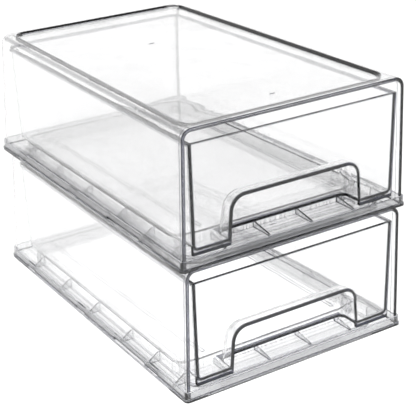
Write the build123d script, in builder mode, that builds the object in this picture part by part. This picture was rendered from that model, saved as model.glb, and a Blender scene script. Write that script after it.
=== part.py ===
from build123d import *
import os
from math import tan, radians

# Two-tier stack of clear pull-out fridge bins. Each tier is a base tray, a hood that
# clips down into the tray, and a drawer that slides out of the front between them.
# Millimetres, +Z up, front towards -Y. The origin is the middle of the footprint, on the floor.

os.makedirs("parts", exist_ok=True)

# Overall sizes of one tier
tier_width = 228            # across the tray flange at the front
tier_depth = 346            # along the tray flange
tier_pitch = 116            # height that each tier adds to the stack
plan_taper = 1.45           # degrees by which each side closes in towards the back

# Base tray
flange_reach = 0.8          # flange beyond the rim wall
rim_wall = 1.6
rim_height = 9.0            # above the flange underside
floor_wall = 2.2            # flange, channel floor and deck thickness
tray_front_radius = 4.0
tray_back_radius = 12.0
deck_height = 12.5          # top of the raised deck that carries the drawer
deck_front_inset = 37.0     # tray edge to deck at the front, behind the finger pocket
deck_round = 1.5            # rounding of the deck's top edge
foot_drop = 2.2             # nesting foot below the flange
gusset_thick = 1.4
gusset_drop = 1.6           # top of a gusset below the deck
gusset_front_drop = 5.0     # the same at the front, under the finger pocket
gusset_toe = 1.5            # height of a gusset at its low end
front_gusset_inset = 15.0   # tray edge to the low end of a front gusset
side_gusset_shares = (0.075, 0.2, 0.335, 0.515, 0.685, 0.853)    # of the depth, from the front
front_gusset_shares = (-0.276, -0.088, 0.105, 0.298)             # of the width, from the middle
snap_shares = (0.162, 0.546, 0.853)     # of the depth, from the front
snap_length = 16
snap_window_height = 3.0
grip_slot_share = 0.28      # long slot between the first two snap windows, of the depth
grip_slot_span = 0.156      # its length, of the depth

# Hood
hood_wall = 2.4
hood_mouth_wall = 3.2       # thicker rim around the front opening
hood_mouth_depth = 5.0
hood_side_draft = 1.2       # degrees
hood_back_draft = 4.2       # degrees
hood_mouth_round = 0.9      # rounding of the rim's front edges
recess_border = 9.5         # between the hood's edge and its stacking recess
recess_land = 0.5           # what stays flat of that border beside the rounded edge
recess_depth = 2.5
recess_slope = 2.5          # plan run of the recess wall
recess_radius = 13.0
recess_floor_radius = 12.0
snap_lug_reach = 1.4        # lug on the hood that fills a snap window
gate_mark_shares = (0.11, 0.645)        # on the centre line of the top, of the depth
gate_mark_size = (5.0, 0.9, 0.3)

# Drawer
drawer_gap = 6.4            # hood mouth to drawer at the sides, along the top edge
drawer_back_gap = 4.0
drawer_front_setback = 1.0
drawer_wall = 2.2
drawer_front_wall = 2.8
drawer_top_gap = 13.2       # hood top to the drawer's top edge
drawer_rim_gap = 1.4        # tray rim to the lower edge of the front panel
drawer_side_draft = 0.9     # degrees
drawer_back_draft = 2.5     # degrees
drawer_front_radius = 1.2
drawer_front_overhang = 0.8  # front panel beyond the tub's sides
drawer_back_radius = 9.0
drawer_bottom_radius = 5.0
lip_reach = 1.4
lip_height = 1.8
glide_width = 3.0
glide_height = 0.8
glide_inset = 23.0          # glide rib from the drawer's side, at the back
panel_inset = 7.0           # border of the sunk panel in the tub floor
panel_depth = 0.6

# Finger pocket in the drawer front
pocket_width = 131          # at its foot
pocket_height = 49.5        # ceiling above the flange underside
pocket_lean = 4.5           # degrees that its sides lean in
pocket_radius = 12.0
pocket_depth = 21.0         # at the drawer's underside
pocket_back_lean = 8.5      # degrees that the back wall leans forward
pocket_back_radius = 6.0

# Clearances
hood_clearance = 0.25       # rim wall to hood, snap lug to window
stack_clearance = 0.3       # hood top to the flange above
nest_clearance = 0.5        # foot to the wall of the recess below it
glide_clearance = 0.3       # deck to the drawer's glide ribs

# Worked out from the sizes above
front_edge = -tier_depth / 2
back_edge = tier_depth / 2
side_gussets = [front_edge + share * tier_depth for share in side_gusset_shares]
front_gussets = [share * tier_width for share in front_gusset_shares]
snap_places = [front_edge + share * tier_depth for share in snap_shares]
grip_slot_place = front_edge + grip_slot_share * tier_depth
grip_slot_length = grip_slot_span * tier_depth
gate_marks = [front_edge + share * tier_depth for share in gate_mark_shares]
window_cut = 2 * (rim_wall + flange_reach)
rim_inset = flange_reach
hood_inset = flange_reach + rim_wall + hood_clearance
hood_back_radius = tray_back_radius - hood_inset
hood_edge_radius = recess_border - recess_land
hood_top = tier_pitch - stack_clearance
hood_rise = hood_top - floor_wall
hood_top_inset = hood_inset + hood_rise * tan(radians(hood_side_draft))
hood_top_back_inset = hood_inset + hood_rise * tan(radians(hood_back_draft))
recess_floor_border = recess_border + recess_slope
deck_radius = recess_floor_radius
deck_inset = hood_top_inset + recess_floor_border + nest_clearance
deck_back_inset = hood_top_back_inset + recess_floor_border + nest_clearance
foot_front_inset = hood_inset + recess_floor_border + nest_clearance
drawer_height = hood_top - drawer_top_gap
drawer_floor_height = deck_height + glide_clearance + glide_height
drawer_front_height = rim_height + drawer_rim_gap
drawer_face = hood_inset + drawer_front_setback
drawer_rise = drawer_height - drawer_floor_height
front_rise = drawer_height - drawer_front_height
front_top_inset = hood_top_inset + drawer_gap
front_inset = front_top_inset + front_rise * tan(radians(drawer_side_draft))
drawer_top_inset = front_top_inset + drawer_front_overhang
drawer_inset = drawer_top_inset + drawer_rise * tan(radians(drawer_side_draft))
drawer_top_back_inset = hood_top_back_inset + hood_wall + drawer_back_gap
drawer_back_inset = drawer_top_back_inset + drawer_rise * tan(radians(drawer_back_draft))


def half_width(y):
    """Half of the tray's width at a place along its depth."""
    return tier_width / 2 - (y - front_edge) * tan(radians(plan_taper))


def plan_sketch(level, sides, front, back, front_radius, back_radius):
    """Tapered plan outline on a level, lying inside the tray's edge by the given insets."""
    y_front = front_edge + front
    y_back = back_edge - back
    near = half_width(y_front) - sides
    far = half_width(y_back) - sides
    with BuildSketch(Plane.XY.offset(level)) as plan:
        with BuildLine():
            Polyline((-near, y_front), (near, y_front), (far, y_back), (-far, y_back), close=True)
        make_face()
        if back_radius:
            fillet(plan.vertices().group_by(Axis.Y)[-1], back_radius)
        if front_radius:
            fillet(plan.vertices().group_by(Axis.Y)[0], front_radius)
    return plan.sketch


def make_base(level):
    """Base tray: flange, rim, channel floor, raised deck, nesting foot, gussets and windows."""
    floor_top = level + floor_wall
    deck_top = level + deck_height
    rim_inner = rim_inset + rim_wall
    wall = floor_wall
    with BuildPart() as base:
        # Flange and channel floor
        outline = plan_sketch(level, 0, 0, 0, tray_front_radius, tray_back_radius)
        extrude(outline, amount=floor_wall)
        # Rim wall standing on the flange
        outline = plan_sketch(floor_top, rim_inset, rim_inset, rim_inset,
                              tray_front_radius - rim_inset, tray_back_radius - rim_inset)
        extrude(outline, amount=rim_height - floor_wall)
        outline = plan_sketch(floor_top, rim_inner, rim_inner, rim_inner, 0, tray_back_radius - rim_inner)
        extrude(outline, amount=rim_height, mode=Mode.SUBTRACT)
        # Raised deck, and the nesting foot below it
        outline = plan_sketch(level, deck_inset, deck_front_inset, deck_back_inset,
                              deck_radius, deck_radius)
        extrude(outline, amount=deck_height)
        fillet(base.faces().sort_by(Axis.Z)[-1].edges(), deck_round)
        outline = plan_sketch(level - foot_drop, deck_inset, foot_front_inset, deck_back_inset,
                              deck_radius, deck_radius)
        extrude(outline, amount=foot_drop)
        # The deck is hollow below, and the foot is a ring
        outline = plan_sketch(level, deck_inset + wall, deck_front_inset + wall, deck_back_inset + wall,
                              deck_radius - wall, deck_radius - wall)
        extrude(outline, amount=deck_height - wall, mode=Mode.SUBTRACT)
        outline = plan_sketch(level - foot_drop, deck_inset + wall, foot_front_inset + wall,
                              deck_back_inset + wall, deck_radius - wall, deck_radius - wall)
        extrude(outline, amount=foot_drop, mode=Mode.SUBTRACT)
        # Gussets across the side channels, from the hood's wall to the deck
        hood_line = hood_inset + hood_wall + hood_clearance
        for y in side_gussets:
            low_end = half_width(y) - hood_line
            deck_end = half_width(y) - deck_inset
            for side in (-1, 1):
                with BuildSketch(Plane.XZ.offset(-y)):
                    with BuildLine():
                        Polyline(
                            (side * low_end, level + wall / 2),
                            (side * low_end, floor_top + gusset_toe),
                            (side * (deck_end + wall), deck_top - gusset_drop),
                            (side * (deck_end - wall / 2), deck_top - gusset_drop),
                            (side * (deck_end - wall / 2), level + wall / 2),
                            close=True,
                        )
                    make_face()
                extrude(amount=gusset_thick / 2, both=True)
        # Gussets across the front channel
        low_end = front_edge + front_gusset_inset
        deck_end = front_edge + deck_front_inset
        for x in front_gussets:
            with BuildSketch(Plane.YZ.offset(x)):
                with BuildLine():
                    Polyline(
                        (low_end, level + wall / 2),
                        (low_end, floor_top + gusset_toe),
                        (deck_end - wall, deck_top - gusset_front_drop),
                        (deck_end + wall / 2, deck_top - gusset_front_drop),
                        (deck_end + wall / 2, level + wall / 2),
                        close=True,
                    )
                make_face()
            extrude(amount=gusset_thick / 2, both=True)
        # Snap windows and the long grip slots through the side rims
        openings = [(y, snap_length) for y in snap_places] + [(grip_slot_place, grip_slot_length)]
        for y, length in openings:
            for side in (-1, 1):
                x = side * (half_width(y) - rim_inset - rim_wall / 2)
                with BuildSketch(Plane.XY.offset(floor_top)):
                    with Locations((x, y)):
                        Rectangle(window_cut, length)
                extrude(amount=snap_window_height, mode=Mode.SUBTRACT)
    return base.part


def make_hood(level):
    """Hood: top, sides and back in one shell, open at the front and below."""
    foot = level + floor_wall
    top = level + hood_top
    run = hood_wall
    with BuildPart() as hood:
        # Outer form, upright at the mouth and drafted at the sides and the back
        lower = plan_sketch(foot, hood_inset, hood_inset, hood_inset, 0, hood_back_radius)
        upper = plan_sketch(top, hood_top_inset, hood_inset, hood_top_back_inset, 0, hood_back_radius)
        loft([lower, upper], ruled=True)
        top_face = hood.faces().sort_by(Axis.Z)[-1]
        fillet(top_face.edges().sort_by(Axis.Y)[1:], hood_edge_radius)
    with BuildPart() as cavity:
        # Room inside, a wall thinner all round
        inner_front = hood_inset + hood_mouth_depth
        lower = plan_sketch(foot, hood_inset + run, inner_front, hood_inset + run,
                            0, hood_back_radius - run)
        upper = plan_sketch(top - run, hood_top_inset + run, inner_front, hood_top_back_inset + run,
                            0, hood_back_radius - run)
        loft([lower, upper], ruled=True)
        ceiling = cavity.faces().sort_by(Axis.Z)[-1]
        fillet(ceiling.edges().sort_by(Axis.Y)[1:], hood_edge_radius - run)
    with BuildPart() as mouth:
        # Front opening, with a thicker rim than the walls behind it
        rim_wall_side = hood_inset + hood_mouth_wall
        rim_wall_top = hood_top_inset + hood_mouth_wall
        lower = plan_sketch(foot, rim_wall_side, 0, tier_depth / 2, 0, 0)
        upper = plan_sketch(top - hood_mouth_wall, rim_wall_top, 0, tier_depth / 2, 0, 0)
        loft([lower, upper], ruled=True)
        edges = mouth.faces().sort_by(Axis.Z)[-1].edges().sort_by(Axis.X)
        fillet([edges[0], edges[-1]], hood_edge_radius - hood_mouth_wall)
    rim = hood_top_inset + recess_border
    rim_front = hood_inset + recess_border
    rim_back = hood_top_back_inset + recess_border
    with BuildPart() as recess:
        # Stacking recess that takes the foot of the tier above
        lower = plan_sketch(top, rim, rim_front, rim_back, recess_radius, recess_radius)
        upper = plan_sketch(top - recess_depth, rim + recess_slope, rim_front + recess_slope,
                            rim_back + recess_slope, recess_floor_radius, recess_floor_radius)
        loft([lower, upper], ruled=True)
    with BuildPart() as hood_shell:
        add(hood.part)
        add(cavity.part, mode=Mode.SUBTRACT)
        add(mouth.part, mode=Mode.SUBTRACT)
        # Pan below the recess, so the top keeps its thickness
        outline = plan_sketch(top - recess_depth - run, rim, rim_front, rim_back,
                              recess_radius, recess_radius)
        extrude(outline, amount=recess_depth + run / 2)
        add(recess.part, mode=Mode.SUBTRACT)
        fillet(hood_shell.faces().sort_by(Axis.Y)[0].edges(), hood_mouth_round)
        # Lugs that click into the windows of the tray's rim
        for y in snap_places:
            for side in (-1, 1):
                x = side * (half_width(y) - hood_inset)
                with BuildSketch(Plane.XY.offset(foot + hood_clearance)):
                    with Locations((x, y)):
                        Rectangle(2 * snap_lug_reach, snap_length - 2 * hood_clearance)
                extrude(amount=snap_window_height - 2 * hood_clearance)
        # Gate marks
        for y in gate_marks:
            with BuildSketch(Plane.XY.offset(top - recess_depth)):
                with Locations((0, y)):
                    Rectangle(gate_mark_size[0], gate_mark_size[1])
            extrude(amount=gate_mark_size[2])
    return hood_shell.part


def make_pocket(level, grow):
    """Finger pocket as a solid; grow adds a wall around it on the drawer's side."""
    face = front_edge + drawer_face
    ceiling = level + pocket_height + grow
    low = level + drawer_front_height - drawer_wall
    rise = pocket_height + grow - drawer_front_height + drawer_wall
    foot = pocket_width / 2 + grow
    head = foot - rise * tan(radians(pocket_lean))
    back = face + pocket_depth + grow
    back_top = back - rise * tan(radians(pocket_back_lean))
    with BuildPart() as pocket:
        with BuildSketch(Plane.YZ):
            with BuildLine():
                Polyline((face, low), (back, low), (back_top, ceiling), (face, ceiling), close=True)
            make_face()
        extrude(amount=foot, both=True)
        with BuildSketch(Plane.XZ.offset(-face)) as arch:
            with BuildLine():
                Polyline((-foot, low), (foot, low), (head, ceiling), (-head, ceiling), close=True)
            make_face()
            fillet(arch.vertices().group_by(Axis.Y)[-1], pocket_radius + grow)
        extrude(amount=-tier_depth, mode=Mode.INTERSECT)
        back_face = pocket.faces().sort_by(Axis.Y)[-1]
        fillet(back_face.edges().sort_by(Axis.Z)[1:], pocket_back_radius + grow)
    return pocket.part


def make_drawer(level):
    """Drawer: open tub with a lip, a flat front panel and a finger pocket under an arch."""
    floor_bottom = level + drawer_floor_height
    floor_top = floor_bottom + drawer_wall
    top = level + drawer_height
    wall = drawer_wall
    inner_front = drawer_face + drawer_front_wall
    pocket_wall = make_pocket(level, drawer_wall)
    pocket_hollow = make_pocket(level, 0)
    with BuildPart() as cavity:
        lower = plan_sketch(floor_top, drawer_inset + wall, inner_front, drawer_back_inset + wall,
                            0, drawer_back_radius - wall)
        upper = plan_sketch(top, drawer_top_inset + wall, inner_front, drawer_top_back_inset + wall,
                            0, drawer_back_radius - wall)
        loft([lower, upper], ruled=True)
        fillet(cavity.faces().sort_by(Axis.Z)[0].edges().sort_by(Axis.Y)[1:], drawer_bottom_radius - wall)
    with BuildPart() as tub:
        behind = drawer_face + drawer_front_wall / 2
        lower = plan_sketch(floor_bottom, drawer_inset, behind, drawer_back_inset, 0, drawer_back_radius)
        upper = plan_sketch(top, drawer_top_inset, behind, drawer_top_back_inset, 0, drawer_back_radius)
        loft([lower, upper], ruled=True)
        fillet(tub.faces().sort_by(Axis.Z)[0].edges().sort_by(Axis.Y)[1:], drawer_bottom_radius)
    with BuildPart() as drawer:
        add(tub.part)
        # Front panel, which hangs a little lower than the tub
        panel_back = tier_depth - inner_front
        lower = plan_sketch(level + drawer_front_height, front_inset, drawer_face, panel_back,
                            drawer_front_radius, 0)
        upper = plan_sketch(top, front_top_inset, drawer_face, panel_back, drawer_front_radius, 0)
        loft([lower, upper], ruled=True)
        # Lip along the sides and the back
        outline = plan_sketch(top - lip_height, drawer_top_inset - lip_reach, inner_front,
                              drawer_top_back_inset - lip_reach, 0, drawer_back_radius + lip_reach)
        extrude(outline, amount=lip_height)
        add(cavity.part, mode=Mode.SUBTRACT)
        # Finger pocket
        add(pocket_wall.split(Plane.XY.offset(floor_bottom), keep=Keep.TOP))
        add(pocket_hollow, mode=Mode.SUBTRACT)
        # Sunk panel in the tub floor, behind the pocket
        border = wall + panel_inset
        outline = plan_sketch(floor_top - panel_depth, drawer_inset + border,
                              drawer_face + pocket_depth + border, drawer_back_inset + border,
                              panel_inset, panel_inset)
        extrude(outline, amount=panel_depth, mode=Mode.SUBTRACT)
        # Glide ribs under the tub, which run on the deck
        glide_bottom = level + deck_height + glide_clearance
        glide_start = front_edge + deck_front_inset + panel_inset
        glide_end = back_edge - drawer_back_inset - drawer_back_radius
        glide_place = half_width(back_edge - drawer_back_inset) - drawer_inset - glide_inset
        for side in (-1, 1):
            with BuildSketch(Plane.XY.offset(glide_bottom)):
                with Locations((side * glide_place, (glide_start + glide_end) / 2)):
                    Rectangle(glide_width, glide_end - glide_start)
            extrude(amount=floor_bottom - glide_bottom + wall / 2)
    return drawer.part


for tier, level in (("lower", foot_drop), ("upper", foot_drop + tier_pitch)):
    base = make_base(level)
    hood = make_hood(level)
    drawer = make_drawer(level)
    for piece, name in ((base, "base"), (hood, "hood"), (drawer, "drawer")):
        piece.label = f"{tier}_{name}"
        export_step(piece, f"parts/{tier}_{name}.step")
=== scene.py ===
from math import cos, radians, sin

import bpy
from mathutils import Matrix, Vector

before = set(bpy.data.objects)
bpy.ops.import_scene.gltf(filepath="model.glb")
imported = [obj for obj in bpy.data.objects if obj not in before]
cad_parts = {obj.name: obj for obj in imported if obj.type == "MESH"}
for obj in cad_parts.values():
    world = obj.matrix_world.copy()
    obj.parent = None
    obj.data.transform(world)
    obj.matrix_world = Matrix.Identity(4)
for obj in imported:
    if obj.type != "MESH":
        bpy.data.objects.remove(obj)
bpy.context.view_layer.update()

# Base trays. Each is one injection moulding in clear styrene: a flange, a rim with a channel
# behind it, a raised deck, and short gussets between them. Light caught in the channel makes it
# read as a pale grey band with streaks along it, which is painted into the colour as painted
# shade.
tiers = ("lower", "upper")
tier_pitch = 0.116  # the height that each tier adds
styrene_index = 1.58
lamp_pass = 0.999  # the share of lamp light that each clear surface lets through


def add_node(tree, kind, inputs=None, **settings):
    """Add a shader node. An input given as a socket is linked, a plain value is set."""
    node = tree.nodes.new(kind)
    for setting, value in settings.items():
        setattr(node, setting, value)
    for name, value in (inputs or {}).items():
        if isinstance(value, bpy.types.NodeSocket):
            tree.links.new(value, node.inputs[name])
        else:
            node.inputs[name].default_value = value
    return node


def math_node(tree, operation, *values):
    """Add a Math node over sockets or plain numbers, and return its result."""
    node = add_node(tree, "ShaderNodeMath", dict(enumerate(values)), operation=operation)
    return node.outputs["Value"]


def ramp(tree, value, start, end):
    """Add a Map Range node that goes from 0 at start to 1 at end, and return its result."""
    node = add_node(tree, "ShaderNodeMapRange", {
        "Value": value, "From Min": start, "From Max": end})
    return node.outputs["Result"]


def make_moulding_effect():
    """Node group: flow waves, wiping scratches, haze, and the painted shade mask for the dark
    edges of a clear moulding.
    """
    group = bpy.data.node_groups.new("moulding_surface", "ShaderNodeTree")
    for name, usual in (("Wave Size", 16.0), ("Scratch Size", 420.0), ("Haze", 0.04),
                        ("Edge Width", 0.0016), ("Corner Line", 0.3)):
        socket = group.interface.new_socket(name, in_out="INPUT",
                                            socket_type="NodeSocketFloat")
        socket.default_value = usual
    for name in ("Edge", "Roughness", "Height"):
        group.interface.new_socket(name, in_out="OUTPUT", socket_type="NodeSocketFloat")
    given = add_node(group, "NodeGroupInput").outputs
    place = add_node(group, "ShaderNodeTexCoord").outputs["Object"]

    # Scratches from wiping and a film of dust both dull the polish.
    waves = add_node(group, "ShaderNodeTexNoise", {
        "Vector": place, "Scale": given["Wave Size"], "Detail": 2.0, "Roughness": 0.45})
    wiped = add_node(group, "ShaderNodeMapping", {
        "Vector": place, "Rotation": (0.2, 0.5, 0.7), "Scale": (1.0, 14.0, 1.0)})
    scratches = add_node(group, "ShaderNodeTexNoise", {
        "Vector": wiped.outputs["Vector"], "Scale": given["Scratch Size"],
        "Detail": 3.0, "Roughness": 0.7})
    film = add_node(group, "ShaderNodeTexNoise", {
        "Vector": place, "Scale": 55.0, "Detail": 5.0})
    scratch_span, dust_span = (0.62, 0.78), (0.45, 0.75)
    fine = ramp(group, scratches.outputs["Fac"], *scratch_span)
    dust = ramp(group, film.outputs["Fac"], *dust_span)
    dull = math_node(group, "MAXIMUM", fine, dust)
    roughness = math_node(group, "MULTIPLY", dull, given["Haze"])
    scratch_depth = -0.05
    relief = math_node(group, "MULTIPLY_ADD", fine, scratch_depth, waves.outputs["Fac"])

    # Painted shade: dark lines are painted into the colour along edges, where light that runs
    # inside the wall is held.
    # The two normals agree (1.0) on a flat wall and part near edges.
    edge_span = (0.995, 0.97)
    rounded = add_node(group, "ShaderNodeBevel", {"Radius": given["Edge Width"]}, samples=3)
    flat = add_node(group, "ShaderNodeNewGeometry").outputs["Normal"]
    turn = add_node(group, "ShaderNodeVectorMath",
                    {0: rounded.outputs["Normal"], 1: flat}, operation="DOT_PRODUCT")
    edge_shade = ramp(group, math_node(group, "ABSOLUTE", turn.outputs["Value"]), *edge_span)

    # A finer line of painted shade goes on the middle of rounded corners, which bends the light
    # furthest.
    # The product of two parts of the normal is 0.5 in that middle and 0 on a flat wall.
    bend_span = (0.41, 0.49)
    facing = add_node(group, "ShaderNodeVectorMath", {0: flat}, operation="ABSOLUTE")
    parts = add_node(group, "ShaderNodeSeparateXYZ",
                     {"Vector": facing.outputs["Vector"]}).outputs
    upright = math_node(group, "MULTIPLY", parts["X"], parts["Y"])
    along_side = math_node(group, "MULTIPLY", parts["X"], parts["Z"])
    along_front = math_node(group, "MULTIPLY", parts["Y"], parts["Z"])
    bend = math_node(group, "MAXIMUM",
                     math_node(group, "MAXIMUM", upright, along_side), along_front)
    corner_shade = math_node(group, "MULTIPLY", ramp(group, bend, *bend_span), given["Corner Line"])
    # The Edge output is the painted shade mask for the edge and corner lines.
    add_node(group, "NodeGroupOutput", {
        "Edge": math_node(group, "MAXIMUM", edge_shade, corner_shade),
        "Roughness": roughness,
        "Height": relief})
    return group


moulding_surface = make_moulding_effect()


def clear_styrene(name, tint, edge_shade_tint, depth_colour, depth_density, wave_height, surface_values):
    """Material: clear moulded styrene whose colour shows in its depth.

    Returns the material and the Mix node that goes from its tint to the near-black of its painted
    edge shade.
    """
    material = bpy.data.materials.new(name)
    material.use_nodes = True
    tree = material.node_tree
    shader = tree.nodes["Principled BSDF"]
    shader.inputs["Transmission Weight"].default_value = 1.0
    shader.inputs["IOR"].default_value = styrene_index
    surface = add_node(tree, "ShaderNodeGroup", surface_values, node_tree=moulding_surface)
    tree.links.new(surface.outputs["Roughness"], shader.inputs["Roughness"])
    # Painted shade: the colour darkens to the edge shade tint along edges and corners.
    colour = add_node(tree, "ShaderNodeMix", {
        "A": (*tint, 1), "B": (*edge_shade_tint, 1), "Factor": surface.outputs["Edge"]},
        data_type="RGBA")
    tree.links.new(colour.outputs["Result"], shader.inputs["Base Color"])
    bump = add_node(tree, "ShaderNodeBump", {
        "Strength": 1.0, "Distance": wave_height, "Height": surface.outputs["Height"]})
    tree.links.new(bump.outputs["Normal"], shader.inputs["Normal"])
    depth = add_node(tree, "ShaderNodeVolumeAbsorption", {
        "Color": (*depth_colour, 1), "Density": depth_density})
    end = tree.nodes["Material Output"]
    tree.links.new(depth.outputs["Volume"], end.inputs["Volume"])
    # Lamp light passes straight through, so what stands behind clear walls isn't in the dark.
    path = add_node(tree, "ShaderNodeLightPath")
    clear = add_node(tree, "ShaderNodeBsdfTransparent", {
        "Color": (lamp_pass, lamp_pass, lamp_pass, 1)})
    choice = add_node(tree, "ShaderNodeMixShader", {
        "Fac": path.outputs["Is Shadow Ray"], 1: shader.outputs["BSDF"],
        2: clear.outputs["BSDF"]})
    tree.links.new(choice.outputs["Shader"], end.inputs["Surface"])
    return material, colour


def dress(piece_name, material):
    """Give the piece of that name in both tiers its material."""
    for tier in tiers:
        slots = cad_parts[f"{tier}_{piece_name}"].data.materials
        slots.clear()
        slots.append(material)


base_tint = (0.995, 0.995, 0.997)
# The second colour is the near-black of the painted shade along edges and corners.
base_plastic, base_colour = clear_styrene(
    "clear_base_styrene", base_tint, (0.012, 0.014, 0.026),
    depth_colour=(0.5, 0.505, 0.52), depth_density=7.0, wave_height=0.0004,
    surface_values={"Wave Size": 22.0, "Scratch Size": 420.0, "Haze": 0.04,
                    "Edge Width": 0.0009, "Corner Line": 0.3})

# The painted shade streaks run along the rim: beside it they follow the sides, which close in
# towards the back, and ahead of the deck they follow the front.
channel_height = 0.0108
channel_fade = 0.0118
channel_front = -0.1375
side_taper = 0.0253
streak_span = (0.4, 0.62)
base_tree = base_plastic.node_tree
base_axes = add_node(base_tree, "ShaderNodeSeparateXYZ", {
    "Vector": add_node(base_tree, "ShaderNodeTexCoord").outputs["Object"]}).outputs
height_in_tier = math_node(base_tree, "MODULO", base_axes["Z"], tier_pitch)
channel = ramp(base_tree, height_in_tier, channel_fade, channel_height)
from_side = math_node(base_tree, "MULTIPLY_ADD", base_axes["Y"], side_taper,
                      math_node(base_tree, "ABSOLUTE", base_axes["X"]))
across_rim = add_node(base_tree, "ShaderNodeMix", {
    "Factor": math_node(base_tree, "LESS_THAN", base_axes["Y"], channel_front),
    "A": from_side, "B": base_axes["Y"]}, data_type="FLOAT")
streaks = add_node(base_tree, "ShaderNodeTexNoise", {
    "W": across_rim.outputs["Result"], "Scale": 620.0, "Detail": 2.0, "Roughness": 0.7},
    noise_dimensions="1D")
# Painted shade: dark grey streaks on a pale grey band in the channel.
streak_shade = add_node(base_tree, "ShaderNodeMix", {
    "A": (0.6, 0.603, 0.612, 1), "B": (0.97, 0.97, 0.97, 1),
    "Factor": ramp(base_tree, streaks.outputs["Fac"], *streak_span)}, data_type="RGBA")
channel_shade = add_node(base_tree, "ShaderNodeMix", {
    "A": (*base_tint, 1), "B": streak_shade.outputs["Result"], "Factor": channel},
    data_type="RGBA")
base_tree.links.new(channel_shade.outputs["Result"], base_colour.inputs["A"])
dress("base", base_plastic)

# Hoods. One moulding each: top, two sides and back, gated on the middle of the top, where the
# witness marks are. Highly polished inside and out, thicker round the mouth. Clipped on the tray.
# The second colour is the near-black of the painted shade along edges and corners.
hood_plastic, _ = clear_styrene(
    "clear_hood_styrene", (0.998, 0.998, 0.999), (0.008, 0.009, 0.022),
    depth_colour=(0.5, 0.505, 0.52), depth_density=5.0, wave_height=0.0006,
    surface_values={"Wave Size": 14.0, "Scratch Size": 420.0, "Haze": 0.03,
                    "Edge Width": 0.0016, "Corner Line": 0.45})
dress("hood", hood_plastic)

# Drawers. One moulding each: an open tub with a lip, a flat front panel and the finger pocket.
# The hanging edge of the front panel and the foot of the pocket's back wall are cut square, and
# light that runs down the wall ends there; the near-black hems there are painted shade in the
# colour.
# The second colour is the near-black of the painted shade along edges and corners.
drawer_plastic, drawer_colour = clear_styrene(
    "clear_drawer_styrene", (0.998, 0.998, 0.999), (0.004, 0.005, 0.014),
    depth_colour=(0.45, 0.455, 0.47), depth_density=4.0, wave_height=0.0005,
    surface_values={"Wave Size": 16.0, "Scratch Size": 420.0, "Haze": 0.04,
                    "Edge Width": 0.0016, "Corner Line": 0.22})
panel_hem_height = 0.0149
pocket_hem_height = 0.0176
pocket_back = -0.1425
pocket_half_width = 0.066
drawer_tree = drawer_plastic.node_tree
drawer_axes = add_node(drawer_tree, "ShaderNodeSeparateXYZ", {
    "Vector": add_node(drawer_tree, "ShaderNodeTexCoord").outputs["Object"]}).outputs
hem_height = math_node(drawer_tree, "MODULO", drawer_axes["Z"], tier_pitch)
panel_hem_shade = math_node(drawer_tree, "LESS_THAN", hem_height, panel_hem_height)
pocket_low = math_node(drawer_tree, "LESS_THAN", hem_height, pocket_hem_height)
pocket_near = math_node(drawer_tree, "LESS_THAN", drawer_axes["Y"], pocket_back)
off_middle = math_node(drawer_tree, "ABSOLUTE", drawer_axes["X"])
pocket_wide = math_node(drawer_tree, "LESS_THAN", off_middle, pocket_half_width)
pocket_foot = math_node(drawer_tree, "MULTIPLY", pocket_low, pocket_near)
pocket_hem_shade = math_node(drawer_tree, "MULTIPLY", pocket_foot, pocket_wide)
# Painted shade: the near-black hems darken the drawer colour as its edges do.
hem_shade = math_node(drawer_tree, "MAXIMUM", panel_hem_shade, pocket_hem_shade)
drawer_edge_shade = drawer_colour.inputs["Factor"].links[0].from_socket
drawer_tree.links.new(math_node(drawer_tree, "MAXIMUM", drawer_edge_shade, hem_shade),
                      drawer_colour.inputs["Factor"])
dress("drawer", drawer_plastic)

# Floor: a wide white sheet just under the stack. Seen from below it lets the view through, so
# the underside can be looked at.
sheet_size = 60.0
sheet_drop = 0.0002
bpy.ops.mesh.primitive_plane_add(size=sheet_size, location=(0, 0, -sheet_drop))
floor = bpy.context.object
floor.name = "studio_floor"
floor_paint = bpy.data.materials.new("white_sheet")
floor_paint.use_nodes = True
floor_tree = floor_paint.node_tree
floor_shader = floor_tree.nodes["Principled BSDF"]
floor_shader.inputs["Base Color"].default_value = (0.94, 0.94, 0.94, 1)
floor_shader.inputs["Roughness"].default_value = 0.8
one_sided = add_node(floor_tree, "ShaderNodeMixShader", {
    "Fac": add_node(floor_tree, "ShaderNodeNewGeometry").outputs["Backfacing"],
    1: floor_shader.outputs["BSDF"],
    2: add_node(floor_tree, "ShaderNodeBsdfTransparent").outputs["BSDF"]})
floor_tree.links.new(one_sided.outputs["Shader"],
                     floor_tree.nodes["Material Output"].inputs["Surface"])
floor.data.materials.append(floor_paint)

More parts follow.
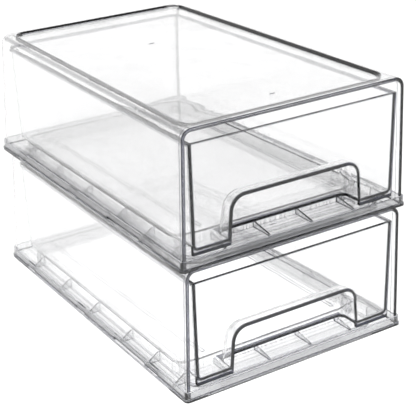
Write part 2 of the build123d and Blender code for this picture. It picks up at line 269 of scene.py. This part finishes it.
# Light: a bright white room whose ceiling and front are dimmer, which draws the gloss of the
# clear walls, and one wide soft lamp overhead.
world = bpy.data.worlds.new("studio")
bpy.context.scene.world = world
world.use_nodes = True
sky = world.node_tree
direction = add_node(sky, "ShaderNodeSeparateXYZ", {
    "Vector": add_node(sky, "ShaderNodeTexCoord").outputs["Generated"]}).outputs
dome = add_node(sky, "ShaderNodeMapRange", {
    "Value": direction["Z"], "From Min": 0.6, "From Max": 0.8,
    "To Min": 1.05, "To Max": 0.35}, interpolation_type="SMOOTHSTEP")
side = add_node(sky, "ShaderNodeMapRange", {
    "Value": direction["Y"], "From Min": -0.55, "From Max": 0.05,
    "To Min": 0.7, "To Max": 1.0}, interpolation_type="SMOOTHSTEP")
room = math_node(sky, "MULTIPLY", dome.outputs["Result"], side.outputs["Result"])
sky.links.new(room, sky.nodes["Background"].inputs["Strength"])
sky.nodes["Background"].inputs["Color"].default_value = (1, 1, 1, 1)
bpy.context.scene.view_settings.view_transform = "Standard"

lamp_data = bpy.data.lights.new("soft_overhead", "SUN")
lamp_data.energy = 2.0
lamp_data.angle = radians(56)
lamp = bpy.data.objects.new("soft_overhead", lamp_data)
lamp_direction = Vector((-0.2, -0.5, -3.3))
lamp.rotation_euler = lamp_direction.to_track_quat("-Z", "Y").to_euler()
bpy.context.scene.collection.objects.link(lamp)

# Light crosses up to fourteen clear surfaces on its way through both tiers.
clear_bounces = 24
cycles = bpy.context.scene.cycles
cycles.max_bounces = clear_bounces
cycles.transmission_bounces = clear_bounces
cycles.transparent_max_bounces = clear_bounces

# Camera: at the front left, a little above the stack, with a long lens and a slight roll.
azimuth = radians(-33.13)
elevation = radians(23.15)
roll = radians(-1.45)
distance = 1.15792
target = Vector((0.01465, -0.01477, 0.08974))
back = Vector((sin(azimuth) * cos(elevation), -cos(azimuth) * cos(elevation), sin(elevation)))
level_right = Vector((cos(azimuth), sin(azimuth), 0))
level_up = back.cross(level_right)
rolled_right = cos(roll) * level_right + sin(roll) * level_up
rolled_up = -sin(roll) * level_right + cos(roll) * level_up
camera_data = bpy.data.cameras.new("camera")
camera_data.sensor_width = 36.0
camera_data.lens = 108.42058
camera = bpy.data.objects.new("camera", camera_data)
bpy.context.scene.collection.objects.link(camera)
turn = Matrix((rolled_right, rolled_up, back)).transposed().to_4x4()
camera.matrix_world = Matrix.Translation(target + back * distance) @ turn
bpy.context.scene.camera = camera
